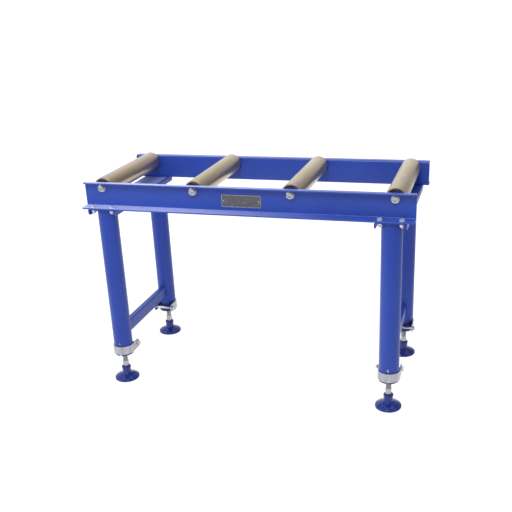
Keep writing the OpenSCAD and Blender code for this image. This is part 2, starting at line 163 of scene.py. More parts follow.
# %% A finish is a graph that ends in one shader
class Finish(Graph):
    """A material, with the nodes that most metal finishes share."""

    def __init__(self, name, constants):
        self.material = bpy.data.materials.new(name)
        self.material.use_nodes = True
        super().__init__(self.material.node_tree)
        self.shader = self.tree.nodes["Principled BSDF"]
        for socket, value in constants.items():
            self.set(socket, value)

    def set(self, socket, value):
        self.feed(self.shader.inputs[socket], value)

    def place(self, stretch=(1, 1, 1)):
        where = self.node("ShaderNodeTexCoord", output="Object")
        return self.node("ShaderNodeMapping", {"Vector": where, "Scale": stretch})

    def noise(self, size, stretch=(1, 1, 1), detail=2.0):
        """Soft patches about size metres across."""
        sockets = {"Vector": self.place(stretch), "Scale": 1 / size, "Detail": detail}
        return self.node("ShaderNodeTexNoise", sockets)

    def crystals(self, size):
        """Flat patches about size metres across, each with a grey of its own."""
        sockets = {"Vector": self.place(), "Scale": 1 / size}
        patches = self.node("ShaderNodeTexVoronoi", sockets, "Color")
        return self.node("ShaderNodeRGBToBW", {"Color": patches})

    def blend(self, share, first, second):
        return self.node("ShaderNodeMix", {0: share, 6: first, 7: second}, 2, data_type="RGBA")

    def ramp(self, share, stops):
        """A colour for each share, blended between the stops."""
        shade = self.node("ShaderNodeValToRGB", {"Fac": share})
        elements = shade.socket.node.color_ramp.elements
        while len(elements) < len(stops):
            elements.new(1.0)
        for element, (position, tone) in zip(elements, stops):
            element.position = position
            element.color = (*tone, 1)
        return shade

    def along(self, axis):
        """The place along one axis, in metres."""
        return self.part(self.place(), axis)

    def looks_up(self):
        """1 where the face looks straight up, 0 where it stands upright."""
        return self.part(self.node("ShaderNodeTexCoord", output="Normal"), "Z")

    def edge_faces(self):
        """1 on the small faces along a piece's edges, 0 elsewhere."""
        return self.node("ShaderNodeAttribute", None, "Fac", attribute_name="rubbed_edge")

    def relief(self, height, depth):
        sockets = {"Height": height, "Distance": depth, "Strength": 1.0}
        self.set("Normal", self.node("ShaderNodeBump", sockets))

# %% [markdown]
# ## The blue powder coat
#
# Powder is sprayed dry and baked, so it flows a little and sets with a fine orange peel. It is thinner on
# the edges, which are painted paler, partly for that wear and partly as a painted highlight, and it picks
# up a few light rubs. Faces that look up are painted paler as a painted sheen, most towards the left end.
# Below the strap tops the tubes are painted dark as painted shade, and the pads have a darker and
# smoother enamel.
#
# One flat blue would look like plastic. This one drifts over a hand's width, has a fine grain, pales on
# edges and under the painted sheen, and has its peel as a bump of about 2 mm across. One recipe makes
# all five coats.

# %% Blue powder coat
def colour(red, green, blue):
    return (red, green, blue, 1.0)


# Painted sheen: the pale colour, and the window that puts more of it towards the left end.
sheen_pale = colour(0.44, 0.48, 0.82)
sheen_ends = (0.34, -0.30)
# Near black for the painted shade below the strap tops.
painted_shade_dark = colour(0.012, 0.016, 0.060)
strap_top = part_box("clamp_strap_front_left")[1].z


def powder_coat(name, tones, gloss, shine=0.32, clear=0.0, peel_depth=0.00012, sheen_share=0.0, shade_below_strap=False):
    deep, light, pale = tones
    constants = {"Specular IOR Level": gloss, "Coat Weight": clear, "Coat Roughness": 0.14}
    finish = Finish(name, constants)
    drift = finish.window(finish.noise(0.22), 0.3, 0.7)
    grain = finish.noise(0.0013, detail=1.0)
    speck = finish.window(finish.noise(0.0040), 0.35, 0.65)
    body_colour = finish.blend(drift * 0.45 + grain * 0.25 + speck * 0.25, deep, light)
    rubs = finish.window(finish.noise(0.016, (1, 1, 0.35), 4.0), 0.66, 0.74)
    # Wear and painted highlight: the bevel faces are blended paler, for the thinner coat and as a painted
    # edge highlight.
    edge = finish.edge_faces() * finish.window(finish.noise(0.03), 0.1, 0.6)
    coated = finish.blend(edge * 0.6 + rubs * 0.05, body_colour, pale)
    # Painted sheen: faces that look up are blended towards pale lavender, more towards the left end.
    sheen_left_end = finish.window(finish.along("X"), *sheen_ends) * 0.97 + 0.03
    painted_sheen = finish.window(finish.looks_up(), 0.70, 0.96) * sheen_left_end
    painted_sheen = painted_sheen * (finish.noise(0.018, detail=3.0) * 0.5 + 0.75) * sheen_share
    coated = finish.blend(painted_sheen, coated, sheen_pale)
    # Painted shade: below the strap top the tube is blended towards near black, where its end and the gap
    # between the tails lie in shade.
    if shade_below_strap:
        painted_shade = finish.window(finish.along("Z"), strap_top + 0.001, strap_top - 0.001)
        coated = finish.blend(painted_shade * 0.8, coated, painted_shade_dark)
    finish.set("Base Color", coated)
    finish.set("Roughness", shine + 0.1 * grain + 0.1 * rubs + 0.1 * painted_sheen - 0.05 * drift)
    finish.relief(finish.noise(0.0024, detail=1.0) + 0.35 * grain, peel_depth)
    return finish.material


rail_blue = (colour(0.015, 0.053, 0.350), colour(0.028, 0.081, 0.455), colour(0.22, 0.27, 0.66))
# Painted shade: a darker copy of the rail blue, for the legs, channels and rear rail.
shaded_blue = (colour(0.013, 0.042, 0.308), colour(0.022, 0.065, 0.395), colour(0.20, 0.25, 0.60))
foot_blue = (colour(0.005, 0.017, 0.165), colour(0.008, 0.026, 0.220), colour(0.05, 0.08, 0.38))
# Painted sheen on faces that look up: most on the front rail, less on the channels and rear rail.
rail_coat = powder_coat("blue_coat_front_rail", rail_blue, 0.46, clear=0.10, sheen_share=0.95)
rear_coat = powder_coat("blue_coat_rear_rail", shaded_blue, 0.42, clear=0.10, sheen_share=0.30)
# The legs take the painted shade below the strap tops.
leg_coat = powder_coat("blue_coat_legs", shaded_blue, 0.34, shade_below_strap=True)
channel_coat = powder_coat("blue_coat_channels", shaded_blue, 0.34, sheen_share=0.45)
foot_enamel = powder_coat("foot_enamel", foot_blue, 0.42, shine=0.08, peel_depth=0.00003)
print("coats:", rail_coat.name, rear_coat.name, leg_coat.name, channel_coat.name, foot_enamel.name)

# %% [markdown]
# ## Zinc, bright and yellow
#
# Bolts, straps and spindles are zinc plated: a cool silver with fine crystals and patches where the bath
# left them duller. The big bolt heads are polished, the small ones on the rails are a paler copy of the
# zinc as a painted highlight, and a strap shows faint bands where the strip was drawn.
#
# The rollers are zinc too, passivated in a bath that leaves a film about as thick as a wavelength of
# light, and olive, gold, pink or violet by its thickness. A thin film setting on the shader would do that
# alike from every angle, but it is not used here. So a slow noise picks a colour on a ramp, stretched
# round the roller as the film runs when the tube drips dry.

# %% Bright zinc
def bright_zinc(name, tone, shine, streak=(1, 1, 1), patch=(1, 1, 1)):
    finish = Finish(name, {"Metallic": 1.0})
    bath = finish.window(finish.noise(0.012, patch, 3.0), 0.3, 0.7)
    drawn = finish.noise(0.0009, streak)
    dull = [value * 0.70 for value in tone]
    cool = finish.blend(bath * 0.6 + drawn * 0.25, colour(*tone), colour(*dull))
    bare = colour(0.74, 0.75, 0.78)
    finish.set("Base Color", finish.blend(finish.edge_faces() * 0.6, cool, bare))
    finish.set("Roughness", shine + 0.10 * bath + 0.08 * drawn)
    finish.relief(finish.crystals(0.0012) * 0.3 + drawn, 0.000006)
    return finish.material


bolt_zinc = bright_zinc("bolt_zinc", (0.64, 0.65, 0.71), 0.13)
# Painted highlight: a paler, rougher copy of the bolt zinc for the rail bolts, nuts and washers.
rail_bolt_zinc = bright_zinc("rail_bolt_zinc", (0.86, 0.87, 0.94), 0.40)
spindle_zinc = bright_zinc("spindle_zinc", (0.45, 0.45, 0.47), 0.15)
strap_zinc = bright_zinc("strap_zinc", (0.46, 0.46, 0.505), 0.20, (1, 1, 5), (1.3, 1.3, 0.12))
tube_zinc = bright_zinc("tube_zinc", (0.52, 0.52, 0.55), 0.22, (1, 1, 0.08))
bearing_steel = bright_zinc("bearing_steel", (0.56, 0.56, 0.57), 0.24, (1, 6, 1))

# %% Yellow passivated rollers
film_tones = [
    (0.28, (0.39, 0.285, 0.265)),
    (0.38, (0.48, 0.36, 0.295)),
    (0.46, (0.48, 0.385, 0.23)),
    (0.54, (0.415, 0.35, 0.20)),
    (0.61, (0.48, 0.37, 0.275)),
    (0.70, (0.39, 0.285, 0.285)),
]
finish = Finish("yellow_passivate", {"Metallic": 0.86, "Coat Weight": 0.35, "Coat Roughness": 0.20})
film = finish.noise(0.050, (1.0, 0.16, 1.0), 1.0)
runs = finish.noise(0.030, (1.0, 0.30, 1.0), 3.0)
fine = finish.noise(0.0010, (1.0, 0.05, 1.0))
shade = finish.ramp(film * 0.82 + runs * 0.18, film_tones)
finish.set("Base Color", finish.blend(finish.edge_faces() * 0.7, shade, colour(0.66, 0.63, 0.56)))
finish.set("Roughness", 0.30 + 0.06 * fine + 0.08 * runs)
finish.relief(fine, 0.00001)
roller_film = finish.material
print("zincs:", bolt_zinc.name, strap_zinc.name, tube_zinc.name, roller_film.name)

# %% Dark pieces inside the rollers
def dark_piece(name, tone, shine, depth):
    finish = Finish(name, {"Metallic": 0.0})
    grain = finish.noise(0.0012)
    dust = finish.window(finish.noise(0.011, detail=3.0), 0.5, 0.72)
    black = colour(tone, tone, tone * 1.05)
    grey = colour(tone * 3, tone * 3, tone * 3.1)
    finish.set("Base Color", finish.blend(dust * 0.3 + finish.edge_faces() * 0.3, black, grey))
    finish.set("Roughness", shine + 0.2 * grain + 0.1 * dust)
    finish.relief(grain, depth)
    return finish.material


hub_black = dark_piece("hub_black", 0.050, 0.38, 0.00004)
seal_rubber = dark_piece("seal_rubber", 0.012, 0.55, 0.00002)

# %% [markdown]
# ## Tools for metal
#
# Three ways of making cover nearly the whole stand. A folded plate starts as a flat blank with rounded
# free corners and is bent along a line. A turned piece is a profile swung round an axis, and where the
# radius changes with the angle it becomes a hexagon or a thread. What repeats is drawn once and set out
# on points. A very small bevel ends each piece, because the edge of real metal catches the light.

# %% From vertices to a piece
merge_gap = 1e-7


def shown(name, data):
    """A new object in the scene."""
    item = bpy.data.objects.new(name, data)
    scene.collection.objects.link(item)
    return item


def new_piece(name, vertices, faces, finish):
    mesh = bpy.data.meshes.new(name)
    mesh.from_pydata(vertices, [], faces)
    shape = bmesh.new()
    shape.from_mesh(mesh)
    bmesh.ops.remove_doubles(shape, verts=shape.verts, dist=merge_gap)
    bmesh.ops.recalc_face_normals(shape, faces=shape.faces)
    unused = [vertex for vertex in shape.verts if not vertex.link_faces]
    bmesh.ops.delete(shape, geom=unused, context="VERTS")
    shape.to_mesh(mesh)
    shape.free()
    mesh.materials.append(finish)
    mesh.shade_smooth()
    return shown(name, mesh)


def applied(piece):
    """Turns what the piece's modifiers make into its plain mesh."""
    evaluated = piece.evaluated_get(bpy.context.evaluated_depsgraph_get())
    mesh = bpy.data.meshes.new_from_object(evaluated)
    mesh.name = piece.name
    piece.modifiers.clear()
    piece.data = mesh
    return piece


def ease_edges(piece, width):
    """Bevels the sharp edges and marks the small new faces, for the wear and painted edge highlight in
    the finish.
    """
    bevel = piece.modifiers.new("eased edges", "BEVEL")
    bevel.width = width
    bevel.segments = 2
    bevel.limit_method = "ANGLE"
    bevel.angle_limit = math.radians(38)
    bevel.harden_normals = True
    bevel.material = 1
    piece.data.materials.append(piece.data.materials[0])
    mesh = applied(piece).data
    marks = mesh.attributes.new("rubbed_edge", "FLOAT", "FACE")
    marks.data.foreach_set("value", [float(face.material_index == 1) for face in mesh.polygons])
    mesh.polygons.foreach_set("material_index", [0] * len(mesh.polygons))
    mesh.materials.pop(index=1)
    return piece


def crease(piece, degrees):
    """Keeps the edges crisp that turn by more than this."""
    piece.data.set_sharp_from_angle(angle=math.radians(degrees))
    return piece


def fit(piece, body, slot, *nodes):
    """The piece rides on a body and stands for the solids that it covers. The slot is not used."""
    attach(piece, body)
    if nodes:
        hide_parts(*nodes)
    print(piece.name, "rides on", body, "with", len(piece.data.polygons), "faces")

# %% Lines with eased corners
def eased(corners, steps):
    """Points along straight lines whose corners (x, y, radius) are turned into short arcs."""
    points = []
    for i, (x, y, radius) in enumerate(corners):
        here = Vector((x, y))
        if radius == 0:
            points.append(here)
            continue
        before = (Vector(corners[i - 1][:2]) - here).normalized()
        after = (Vector(corners[(i + 1) % len(corners)][:2]) - here).normalized()
        half = before.angle(after) / 2
        centre = here + (before + after).normalized() * radius / math.sin(half)
        start = here + before * radius / math.tan(half) - centre
        sweep = start.angle_signed(here + after * radius / math.tan(half) - centre)
        for k in range(steps + 1):
            points.append(centre + Matrix.Rotation(-sweep * k / steps, 2) @ start)
    return points

# %% Boxes, stacks and arcs
def rounded_box(half_x, low_z, high_z, radius, steps):
    """The closed outline of an upright rectangle round X = 0 with rounded corners."""
    corners = [(-half_x, low_z), (half_x, low_z), (half_x, high_z), (-half_x, high_z)]
    return eased([(x, z, radius) for x, z in corners], steps)


def stacked(vertices, count):
    """The vertices and the faces of a solid through outlines of count vertices each."""
    last = len(vertices) - count
    faces = [tuple(range(count)), tuple(range(last, last + count))]
    for start in range(0, last, count):
        for k in range(count):
            n = (k + 1) % count
            faces.append((start + k, start + n, start + count + n, start + count + k))
    return vertices, faces


def arc(x, z, radius, start, end, steps):
    """Points on an arc round (x, z)."""
    angles = [start + (end - start) * k / steps for k in range(steps + 1)]
    return [(x + radius * math.cos(a), z + radius * math.sin(a)) for a in angles]

# %% Plates folded from a blank
def folded_plate(outline, bend, thickness, half_width, corner, steps=8):
    """Vertices (across, u, v) and faces of a plate, one face of which follows outline in (u, v)."""
    bends = [0, bend, bend, 0]
    line = eased([(u, v, radius) for (u, v), radius in zip(outline, bends)], steps)
    ends = [corner * (1 - math.cos(math.pi / 2 * k / steps)) for k in range(1, steps + 1)]
    first = (line[1] - line[0]).normalized()
    final = (line[-2] - line[-1]).normalized()
    start = [line[0]] + [line[0] + first * d for d in ends]
    end = [line[-1] + final * d for d in reversed(ends)] + [line[-1]]
    line = start + line[1:-1] + end
    run = [0.0]
    for here, there in zip(line, line[1:]):
        run.append(run[-1] + (there - here).length)
    vertices = []
    for i, point in enumerate(line):
        back = (point - line[max(i - 1, 0)]).normalized()
        ahead = (line[min(i + 1, len(line) - 1)] - point).normalized()
        along = (back + ahead).normalized()
        reach = thickness / max(along.dot(ahead if i == 0 else back), 0.5)
        inside = point + Vector((-along.y, along.x)) * reach
        free = min(run[i], run[-1] - run[i], corner)
        half = half_width - corner + math.sqrt(max(corner**2 - (corner - free) ** 2, 0))
        vertices += [(-half, *point), (half, *point), (half, *inside), (-half, *inside)]
    return stacked(vertices, 4)

# %% Turned pieces
def swing(rings, segments=96, closed=False):
    """A profile swung round Z. A ring is (radius, height), or a function of the angle that gives it."""
    angles = [2 * math.pi * k / segments for k in range(segments)]
    vertices = []
    index = []
    for ring in rings:
        start = len(vertices)
        if not callable(ring) and ring[0] == 0:
            vertices.append((0, 0, ring[1]))
            index.append([start] * segments)
            continue
        for angle in angles:
            radius, height = ring(angle) if callable(ring) else ring
            vertices.append((radius * math.cos(angle), radius * math.sin(angle), height))
        index.append(list(range(start, start + segments)))
    faces = []
    pairs = list(zip(index, index[1:]))
    if closed:
        pairs.append((index[-1], index[0]))
    for low, high in pairs:
        for k in range(segments):
            n = (k + 1) % segments
            faces.append(list(dict.fromkeys((low[k], low[n], high[n], high[k]))))
    return vertices, faces


def turned(name, rings, finish, place, axis="Z", closed=False, segments=96):
    piece = new_piece(name, *swing(rings, segments, closed), finish)
    turn = Matrix.Rotation(-math.pi / 2, 4, "X") if axis == "Y" else Matrix()
    piece.data.transform(Matrix.Translation(place) @ turn)
    return piece


def joined(name, pieces):
    """One piece out of several that have the same finish."""
    whole = bmesh.new()
    for piece in pieces:
        whole.from_mesh(piece.data)
    mesh = bpy.data.meshes.new(name)
    whole.to_mesh(mesh)
    whole.free()
    mesh.materials.append(pieces[0].data.materials[0])
    for piece in pieces:
        bpy.data.objects.remove(piece)
    return shown(name, mesh)

# %% [markdown]
# ## The side rails
#
# Each rail is 4 mm plate, folded twice into a web with a narrow flange on top and a wide one below. It
# could be extruded from its section, but then the flanges' rounded corners need cutting. Folding a blank
# that already has its corners is closer to how the rail is made: the plate follows a line with two bends,
# and its ends draw in near the free edges.

# %% Side rails
rail_low, rail_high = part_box("rear_rail")
plate = 0.004
plate_bend = 0.006
top_flange = 0.022
flange_corner = 0.009
edge_ease = 0.0006
half_rail = (rail_high.x - rail_low.x) / 2
web_face = rail_low.y
outline = [(web_face + top_flange, rail_high.z), (web_face, rail_high.z)]
outline += [(web_face, rail_low.z), (rail_high.y, rail_low.z)]
blank, faces = folded_plate(outline, plate_bend, plate, half_rail, flange_corner)
for side, sign, coat in (("front", -1, rail_coat), ("rear", 1, rear_coat)):
    rail = new_piece(f"{side}_side_rail", [(x, sign * y, z) for x, y, z in blank], faces, coat)
    fit(ease_edges(rail, edge_ease), "frame", "blue_powder_coat", f"{side}_rail")

# %% [markdown]
# ## The leg frames
#
# A short channel joins each pair of legs to both rails. It is the same folded plate, with its flanges
# down. The legs are tubes with a slot at the lower end, so that the strap can squeeze them. A tube is
# drawn as a rolled sheet with the slot left out, which keeps the slot's sides straight and its end round.
# A box bar ties each pair of legs together, with its ends cut to the tube's curve.

# %% Top channels
channel_corner = 0.008
for side in ("left", "right"):
    low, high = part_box(f"{side}_top_channel")
    outline = [(high.x, low.z), (high.x, high.z), (low.x, high.z), (low.x, low.z)]
    blank, faces = folded_plate(outline, plate_bend, plate, high.y, channel_corner)
    channel = new_piece(f"{side}_leg_channel", [(x, y, z) for y, x, z in blank], faces, channel_coat)
    fit(ease_edges(channel, edge_ease), "frame", "blue_powder_coat", f"{side}_top_channel")

# %% Leg tubes
legs = {
    "front_left": (-1, -1),
    "front_right": (1, -1),
    "rear_left": (-1, 1),
    "rear_right": (1, 1),
}
tube_wall = 0.003
slot_half = 0.0025
slot_over = 0.014
strap_low, strap_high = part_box("clamp_strap_front_left")
slot_top = strap_high.z + slot_over
tube_columns = 90
slot_columns = 6
all_columns = slot_columns + tube_columns


def slotted_tube(radius, bore, low, high):
    """A rolled sheet round Z with a slot on its -Y side, open at the lower end."""
    vertices = []
    for k in range(all_columns):
        turn = math.pi * (min(k / slot_columns, 1) - 0.5)
        across = slot_half * math.sin(turn)
        arch = slot_top - slot_half + slot_half * math.cos(turn)
        share = max(k - slot_columns, 0) / tube_columns
        levels = [low, arch, slot_top + slot_half, high]
        for r, heights in ((radius, levels), (bore, reversed(levels))):
            angle = math.asin(across / r) + 2 * (math.pi - math.asin(slot_half / r)) * share
            vertices += [(r * math.sin(angle), -r * math.cos(angle), z) for z in heights]
    faces = [(k, k + 1, k + 6, k + 7) for k in (0, 8 * slot_columns)]
    for k in range(all_columns):
        here = 8 * k
        there = 8 * ((k + 1) % all_columns)
        loop = [1, 2, 3, 4, 5, 6] if k < slot_columns else list(range(8))
        for i, n in zip(loop, loop[1:] + loop[:1]):
            faces.append((here + i, there + i, there + n, here + n))
    return vertices, faces


for leg, (side, depth) in legs.items():
    low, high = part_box(f"leg_tube_{leg}")
    centre = (low + high) / 2
    leg_radius = (high.x - low.x) / 2
    vertices, faces = slotted_tube(leg_radius, leg_radius - tube_wall, low.z, high.z)
    vertices = [(centre.x + x, centre.y - depth * y, z) for x, y, z in vertices]
    tube = new_piece(f"leg_{leg}", vertices, faces, leg_coat)
    fit(ease_edges(tube, edge_ease), "frame", "blue_powder_coat", f"leg_tube_{leg}")
leg_x = abs(centre.x)
leg_y = abs(centre.y)
print("legs stand at", round(leg_x, 4), round(leg_y, 4))

# %% Cross bars
bar_corner = 0.003
bar_embed = 0.0003
bar_cuts = 6
bar_low, bar_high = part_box("left_cross_bar")
bar_half = (bar_high.x - bar_low.x) / 2
line = rounded_box(bar_half, bar_low.z, bar_high.z, bar_corner, 5)
full = []
for here, there in zip(line, line[1:] + line[:1]):
    cuts = bar_cuts if abs(there.x - here.x) > bar_half - bar_corner else 1
    full += [here + (there - here) * k / cuts for k in range(cuts)]
reach = [leg_y - math.sqrt(leg_radius**2 - x * x) + bar_embed for x, z in full]
for side, sign in (("left", -1), ("right", 1)):
    ends = [(sign * leg_x + x, end * r, z) for end in (-1, 1) for (x, z), r in zip(full, reach)]
    bar = new_piece(f"{side}_tie_bar", *stacked(ends, len(full)), leg_coat)
    fit(ease_edges(bar, edge_ease / 4), "frame", "blue_powder_coat", f"{side}_cross_bar")

# %% [markdown]
# ## Weld beads
#
# The tubes are welded to the channels all round, and the bars to the tubes. A bead is a row of small
# pools of metal that froze one after the other. So the tree below takes a path, puts a round drop every
# couple of millimetres and varies its size a little. The powder coat covers it all.

# %% Trees with named inputs
def new_tree(name, inputs):
    """A Geometry Nodes tree with named inputs, a seed and a finish too, and the Wire of each."""
    tree = bpy.data.node_groups.new(name, "GeometryNodeTree")
    inputs = {"Geometry": "Geometry", **inputs, "Seed": "Int", "Finish": "Material"}
    for label, kind in inputs.items():
        tree.interface.new_socket(label, in_out="INPUT", socket_type="NodeSocket" + kind)
    tree.interface.new_socket("Geometry", in_out="OUTPUT", socket_type="NodeSocketGeometry")
    graph = Graph(tree)
    entry = tree.nodes.new("NodeGroupInput")
    return graph, {socket.name: Wire(graph, socket) for socket in entry.outputs}


def end_tree(graph, geometry, finish):
    real = graph.node("GeometryNodeRealizeInstances", {"Geometry": geometry})
    dressed = graph.node("GeometryNodeSetMaterial", {"Geometry": real, "Material": finish})
    graph.feed(graph.tree.nodes.new("NodeGroupOutput").inputs[0], dressed)
    return graph.tree


def grow(piece, tree, values):
    """Runs a tree on a piece with the named values and keeps the result as a plain mesh."""
    modifier = piece.modifiers.new(tree.name, "NODES")
    modifier.node_group = tree
    for item in tree.interface.items_tree:
        if item.name in values:
            modifier[item.identifier] = values[item.name]
    return applied(piece)

# %% Weld bead tree
g, given = new_tree("weld bead", {"Bead radius": "Float", "Drop pitch": "Float"})
path = g.node("GeometryNodeMeshToCurve", {"Mesh": given["Geometry"]})
sockets = {"Curve": path, "Length": given["Drop pitch"]}
steps = g.node("GeometryNodeResampleCurve", sockets, mode="LENGTH")
sockets = {"Segments": 8, "Rings": 6, "Radius": given["Bead radius"]}
drop = g.node("GeometryNodeMeshUVSphere", sockets)
smooth = g.node("GeometryNodeSetShadeSmooth", {"Geometry": drop})
tangent = g.node("GeometryNodeInputTangent")
along = g.node("FunctionNodeAlignRotationToVector", {"Vector": tangent}, axis="X")
sockets = {2: 0.86, 3: 1.12, "Seed": given["Seed"]}
size = g.node("FunctionNodeRandomValue", sockets, 1, data_type="FLOAT")
sockets = {"Points": steps, "Instance": smooth, "Rotation": along, "Scale": size}
weld_tree = end_tree(g, g.node("GeometryNodeInstanceOnPoints", sockets), given["Finish"])

# %% Weld beads
bead_radius = 0.0024
drop_pitch = 0.0026
bead_sink = bead_radius * 0.25
bead_path = leg_radius + bead_sink
leg_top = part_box("leg_tube_front_left")[1].z
circle = arc(0, 0, bead_path, 0, 2 * math.pi, 64)[:-1]
collar = [(x, y, leg_top - bead_sink) for x, y in circle]
vertices = []
edges = []
for side, depth in legs.values():
    saddle = []
    for x, z in rounded_box(bar_half, bar_low.z, bar_high.z, bar_corner, 4):
        saddle.append((x, -depth * math.sqrt(bead_path**2 - x * x), z))
    for loop in (collar, saddle):
        start = len(vertices)
        vertices += [(side * leg_x + x, depth * leg_y + y, z) for x, y, z in loop]
        edges += [(start + k, start + (k + 1) % len(loop)) for k in range(len(loop))]
paths = bpy.data.meshes.new("weld_beads")
paths.from_pydata(vertices, edges, [])
values = {"Bead radius": bead_radius, "Drop pitch": drop_pitch, "Seed": 7, "Finish": leg_coat}
fit(grow(shown("weld_beads", paths), weld_tree, values), "frame", "blue_powder_coat")

# %% [markdown]
# ## Hexagons and threads
#
# A bolt's head is a hexagon whose corners have been turned off, which leaves an arc on each flat. A
# boolean cut would make it, but a turned piece whose radius follows the hexagon does the same with a
# clean mesh. A thread is turned too: one turn shifts its crests by one pitch.

# %% Hexagon and thread rings
sixth = math.pi / 3
chamfer_slope = math.tan(math.radians(30))
face_share = 0.475
thread_depth = 0.58
rows_a_turn = 8


def hex_ring(flats, height, slope=0.0):
    """A ring along the hexagon, lower at its corners by the slope of the turned face."""

    def at(angle):
        reach = flats / 2 / math.cos((angle + sixth / 2) % sixth - sixth / 2)
        return reach, height - slope * (reach - flats * face_share)

    return at


def thread_rings(low, high, radius, pitch):
    """Rings of a right-handed thread between two heights."""

    def reach(angle, height):
        phase = (height / pitch - angle / (2 * math.pi)) % 1
        rise = min(max(2.2 * abs(2 * phase - 1) - 0.6, 0), 1)
        return radius - pitch * thread_depth * rise

    rows = max(int((high - low) / pitch * rows_a_turn), 2)
    heights = [low + (high - low) * k / rows for k in range(rows + 1)]
    return [lambda angle, z=z: (reach(angle, z), z) for z in heights]

# %% Bolts, nuts and washers
tip_ease = 0.0008
mark_depth = 0.0003
bore_gap = 0.0003
punch_roll = 0.0004


def bolt_rings(radius, flats, head, shank, threaded, pitch):
    """A bolt whose head stands on Z = 0 and whose shank hangs below it."""
    top = threaded - shank
    face = flats * face_share
    rings = [(0, -shank), (radius - pitch, -shank)]
    rings += thread_rings(tip_ease - shank, top, radius, pitch)
    rings += [(radius, top + pitch / 2), (radius, 0), (face, 0), (face, 0.0004)]
    rings += [hex_ring(flats, 0.0004), hex_ring(flats, head, chamfer_slope), (face, head)]
    return rings + [(flats * 0.26, head), (flats * 0.22, head - mark_depth), (0, head - mark_depth)]


def nut_rings(radius, flats, height):
    """A nut between Z = 0 and its height, its bore just clear of the bolt."""
    bore = radius + 0.0001
    face = flats * face_share
    rings = [(bore, 0.0004), (bore + 0.0006, 0), (face, 0), hex_ring(flats, 0.0, -chamfer_slope)]
    rings += [hex_ring(flats, height, chamfer_slope), (face, height)]
    return rings + [(bore + 0.0006, height), (bore, height - 0.0004)]


def washer_rings(radius, outer, thickness):
    """A punched washer: one edge is rolled over by the punch, the other is sharp."""
    bore = radius + bore_gap
    roll = punch_roll
    rings = [(bore, 0), (outer - roll / 2, 0), (outer, roll / 2), (outer, thickness - roll)]
    rings.append((outer - roll * 0.3, thickness - roll * 0.3))
    return rings + [(outer - roll, thickness), (bore, thickness)]

# %% [markdown]
# ## Setting out fasteners
#
# More than sixty bolts, nuts and washers are only six shapes. Each is drawn once and lies on its points
# as an instance. A point carries the way its face looks, and each piece is turned by a random amount
# with a fixed seed, because nobody tightens a row of bolts to the same angle.

# %% Fastener tree
g, given = new_tree("set out fasteners", {"Pattern": "Object", "Largest turn": "Float"})
sockets = {"Object": given["Pattern"]}
pattern = g.node("GeometryNodeObjectInfo", sockets, "Geometry", transform_space="ORIGINAL")
sockets = {"Name": "facing"}
looks = g.node("GeometryNodeInputNamedAttribute", sockets, data_type="FLOAT_VECTOR")
facing = g.node("FunctionNodeEulerToRotation", {"Euler": looks})
sockets = {2: 0.0, 3: given["Largest turn"], "Seed": given["Seed"]}
clock = g.node("FunctionNodeRandomValue", sockets, 1, data_type="FLOAT")
spin = g.node("FunctionNodeAxisAngleToRotation", {"Axis": (0, 0, 1), "Angle": clock})
sockets = {"Rotation": facing, "Rotate By": spin}
both = g.node("FunctionNodeRotateRotation", sockets, rotation_space="LOCAL")
sockets = {"Points": given["Geometry"], "Instance": pattern, "Rotation": both}
fastener_tree = end_tree(g, g.node("GeometryNodeInstanceOnPoints", sockets), given["Finish"])

# %% Fasteners on their points
upwards = (0, 0, 0)
to_front = (math.pi / 2, 0, 0)
to_rear = (-math.pi / 2, 0, 0)
to_right = (0, math.pi / 2, 0)
to_left = (0, -math.pi / 2, 0)
bolt_sides = 60


def set_out(name, rings, places, finish, seed, closed=False, ease=0.00015):
    """A pattern turned from rings and copied to each (place, facing)."""
    pattern = new_piece(name + "_pattern", *swing(rings, bolt_sides, closed), finish)
    if ease:
        ease_edges(pattern, ease)
    mesh = bpy.data.meshes.new(name)
    mesh.from_pydata([place for place, facing in places], [], [])
    facings = mesh.attributes.new("facing", "FLOAT_VECTOR", "POINT")
    facings.data.foreach_set("vector", [value for place, facing in places for value in facing])
    values = {"Pattern": pattern, "Largest turn": sixth, "Seed": seed, "Finish": finish}
    piece = grow(shown(name, mesh), fastener_tree, values)
    bpy.data.objects.remove(pattern)
    return piece


def fasten(name, node, rings, places, finish, seed, closed=False):
    """Set-out fasteners that ride on the frame and stand for one node."""
    fit(set_out(name, rings, places, finish, seed, closed), "frame", "bright_zinc", node)

# %% Axle bolts and washers
axle_bolt = 0.006
axle_flats = 0.019
axle_pitch = 0.00175
axle_head = 0.00744
axle_shank = 0.0285
axle_thread = 0.010
washer_low, washer_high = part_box("axle_washers")
bolt_low, bolt_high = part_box("axle_bolts")
axle_washer = (washer_high.z - washer_low.z) / 2
axle_height = (washer_high.z + washer_low.z) / 2
outer_face = web_face + plate
axle_washer_t = bolt_high.y - axle_head - outer_face
boxes = [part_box(f"roller_tube_{number}") for number in range(1, 5)]
roller_x = [(low.x + high.x) / 2 for low, high in boxes]
seats = []
heads = []
for x in roller_x:
    for facing, sign in ((to_front, -1), (to_rear, 1)):
        seats.append(((x, sign * outer_face, axle_height), facing))
        heads.append(((x, sign * (outer_face + axle_washer_t), axle_height), facing))
rings = bolt_rings(axle_bolt, axle_flats, axle_head, axle_shank, axle_thread, axle_pitch)
fasten("axle_hex_bolts", "axle_bolts", rings, heads, bolt_zinc, 3)
rings = washer_rings(axle_bolt, axle_washer, axle_washer_t)
fasten("axle_plain_washers", "axle_washers", rings, seats, bolt_zinc, 5, closed=True)

